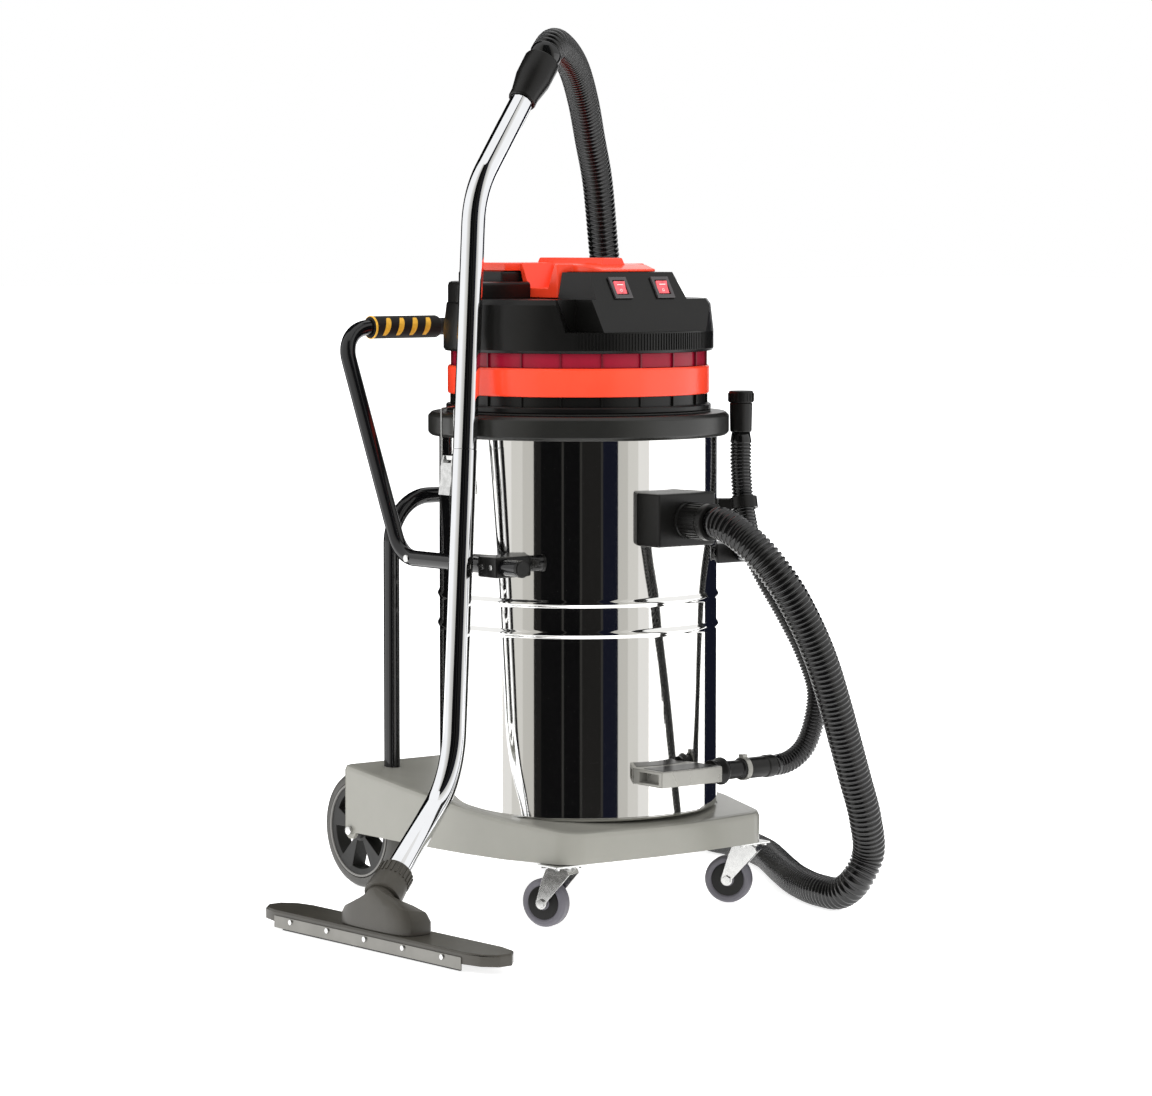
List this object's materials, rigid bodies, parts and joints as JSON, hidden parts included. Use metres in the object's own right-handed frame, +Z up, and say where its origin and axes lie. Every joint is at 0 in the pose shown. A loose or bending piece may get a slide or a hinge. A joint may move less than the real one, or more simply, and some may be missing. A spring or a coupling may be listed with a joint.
{
  "type": "wet_dry_vacuum_cleaner",
  "caption": "Industrial wet and dry vacuum cleaner: steel tank on a trolley, black and orange head with motors, push handle, hose, chrome wand and floor squeegee.",
  "frame": {"origin": "bottom centre of the bounding box, cords left out", "axes": "+X right of the machine, +Y to its rear, +Z up"},
  "size_m": [1.0554, 0.8811, 1.3807],
  "materials": {
    "trolley_plastic": "satin gloss",
    "stainless_steel": "mirror polished",
    "black_paint": "gloss",
    "black_plastic": "fine texture",
    "hose_plastic": "gloss",
    "orange_plastic": "satin gloss",
    "red_plastic": "satin",
    "red_lens": "translucent gloss",
    "grey_plastic": "satin",
    "white_plastic": "satin",
    "chrome_tube": "polished",
    "zinc_plate": "bright zinc",
    "castor_tyre": "satin",
    "wheel_rubber": "satin",
    "seal_rubber": "matte",
    "grip_foam": "soft matte",
    "fan_aluminium": "satin"
  },
  "bodies": {
    "base": {"platform": "trolley_plastic", "tank": "stainless_steel", "bumper_ring": "black_plastic", "inlet_box": "black_plastic", "inlet_deflector": "black_plastic", "rear_frame": "black_paint", "push_handle": "black_paint", "handle_grip": "grip_foam", "handle_clamp_left": "black_plastic", "handle_clamp_right": "black_plastic", "rear_axle": "zinc_plate", "castor_plate_left": "zinc_plate", "castor_plate_right": "zinc_plate", "drain_box": "stainless_steel", "drain_pipe": "black_plastic", "hose_clamp": "stainless_steel", "drain_hose": "hose_plastic", "drain_cuff": "black_plastic", "drain_clip": "black_plastic", "inlet_cuff": "black_plastic", "main_hose": "hose_plastic", "wand_cuff": "black_plastic", "wand_upper": "chrome_tube", "wand_lower": "chrome_tube", "tool_plate": "grey_plastic", "tool_hood": "grey_plastic", "squeegee_front": "seal_rubber", "squeegee_rear": "seal_rubber", "squeegee_strip": "stainless_steel", "latch_base_left": "zinc_plate", "latch_base_right": "zinc_plate"},
    "head": {"head_base": "black_plastic", "orange_band": "orange_plastic", "vent_band": "red_plastic", "head_cover": "black_plastic", "top_cover": "orange_plastic", "switch_bezel_left": "black_plastic", "switch_bezel_right": "black_plastic", "motor_left": "grey_plastic", "motor_right": "grey_plastic", "filter_cage": "grey_plastic", "tank_seal": "seal_rubber", "cable_gland": "black_plastic"},
    "float": {"float_ball": "white_plastic"},
    "impeller_left": {"impeller_left": "fan_aluminium"},
    "impeller_right": {"impeller_right": "fan_aluminium"},
    "switch_left": {"switch_rocker_left": "red_lens"},
    "switch_right": {"switch_rocker_right": "red_lens"},
    "latch_lever_left": {"latch_lever_left": "zinc_plate"},
    "latch_lever_right": {"latch_lever_right": "zinc_plate"},
    "latch_bail_left": {"latch_bail_left": "zinc_plate"},
    "latch_bail_right": {"latch_bail_right": "zinc_plate"},
    "rear_wheel_left": {"rear_wheel_left": "wheel_rubber"},
    "rear_wheel_right": {"rear_wheel_right": "wheel_rubber"},
    "castor_fork_left": {"castor_fork_left": "zinc_plate"},
    "castor_fork_right": {"castor_fork_right": "zinc_plate"},
    "castor_wheel_left": {"castor_wheel_left": "castor_tyre"},
    "castor_wheel_right": {"castor_wheel_right": "castor_tyre"},
    "drain_cap": {"drain_cap": "black_plastic"},
    "wand_collar": {"wand_collar": "grey_plastic"}
  },
  "joints": [
    {"name": "head_lift", "type": "slide", "parent": "base", "child": "head", "axis": [0, 0, 1], "range_m": [0, 0.07]},
    {"name": "float_rise", "type": "slide", "parent": "head", "child": "float", "axis": [0, 0, 1], "range_m": [0, 0.05]},
    {"name": "impeller_left_spin", "type": "hinge", "parent": "head", "child": "impeller_left", "pos_m": [0.0567, 0.0204, 0.79], "axis": [0, 0, 1], "continuous": true},
    {"name": "impeller_right_spin", "type": "hinge", "parent": "head", "child": "impeller_right", "pos_m": [0.2267, 0.0204, 0.79], "axis": [0, 0, 1], "continuous": true},
    {"name": "switch_left_rock", "type": "hinge", "parent": "head", "child": "switch_left", "pos_m": [0.1057, -0.122, 0.9719], "axis": [-1, 0, 0], "range_deg": [0, 16]},
    {"name": "switch_right_rock", "type": "hinge", "parent": "head", "child": "switch_right", "pos_m": [0.1907, -0.122, 0.9719], "axis": [-1, 0, 0], "range_deg": [0, 16]},
    {"name": "latch_lever_left_open", "type": "hinge", "parent": "base", "child": "latch_lever_left", "pos_m": [-0.0963, 0.0404, 0.712], "axis": [0, 1, 0], "range_deg": [0, 120]},
    {"name": "latch_bail_left_swing", "type": "hinge", "parent": "latch_lever_left", "child": "latch_bail_left", "pos_m": [-0.1018, 0.0404, 0.698], "axis": [0, 1, 0], "range_deg": [-180, 0]},
    {"name": "latch_lever_right_open", "type": "hinge", "parent": "base", "child": "latch_lever_right", "pos_m": [0.3797, 0.0404, 0.712], "axis": [0, -1, 0], "range_deg": [0, 120]},
    {"name": "latch_bail_right_swing", "type": "hinge", "parent": "latch_lever_right", "child": "latch_bail_right", "pos_m": [0.3852, 0.0404, 0.698], "axis": [0, -1, 0], "range_deg": [-180, 0]},
    {"name": "rear_wheel_left_roll", "type": "hinge", "parent": "base", "child": "rear_wheel_left", "pos_m": [-0.0458, 0.3369, 0.095], "axis": [1, 0, 0], "continuous": true},
    {"name": "rear_wheel_right_roll", "type": "hinge", "parent": "base", "child": "rear_wheel_right", "pos_m": [0.3292, 0.3369, 0.095], "axis": [1, 0, 0], "continuous": true},
    {"name": "castor_left_swivel", "type": "hinge", "parent": "base", "child": "castor_fork_left", "pos_m": [-0.0453, -0.1706, 0.09], "axis": [0, 0, 1], "continuous": true},
    {"name": "castor_wheel_left_roll", "type": "hinge", "parent": "castor_fork_left", "child": "castor_wheel_left", "pos_m": [-0.0558, -0.1446, 0.0375], "axis": [0.9272, 0.3746, 0], "continuous": true},
    {"name": "castor_right_swivel", "type": "hinge", "parent": "base", "child": "castor_fork_right", "pos_m": [0.3287, -0.1706, 0.09], "axis": [0, 0, 1], "continuous": true},
    {"name": "castor_wheel_right_roll", "type": "hinge", "parent": "castor_fork_right", "child": "castor_wheel_right", "pos_m": [0.3122, -0.1479, 0.0375], "axis": [0.809, 0.5878, 0], "continuous": true},
    {"name": "drain_cap_pull", "type": "slide", "parent": "base", "child": "drain_cap", "axis": [0, 0, 1], "range_m": [0, 0.04]},
    {"name": "wand_collar_turn", "type": "hinge", "parent": "base", "child": "wand_collar", "pos_m": [-0.369, -0.1476, 0.0781], "axis": [0.7495, 0.3307, 0.5735], "continuous": true}
  ],
  "couplings": [
    {"joint": "latch_bail_left_swing", "follows": "latch_lever_left_open", "ratio": -1.5},
    {"joint": "latch_bail_right_swing", "follows": "latch_lever_right_open", "ratio": -1.5}
  ]
}
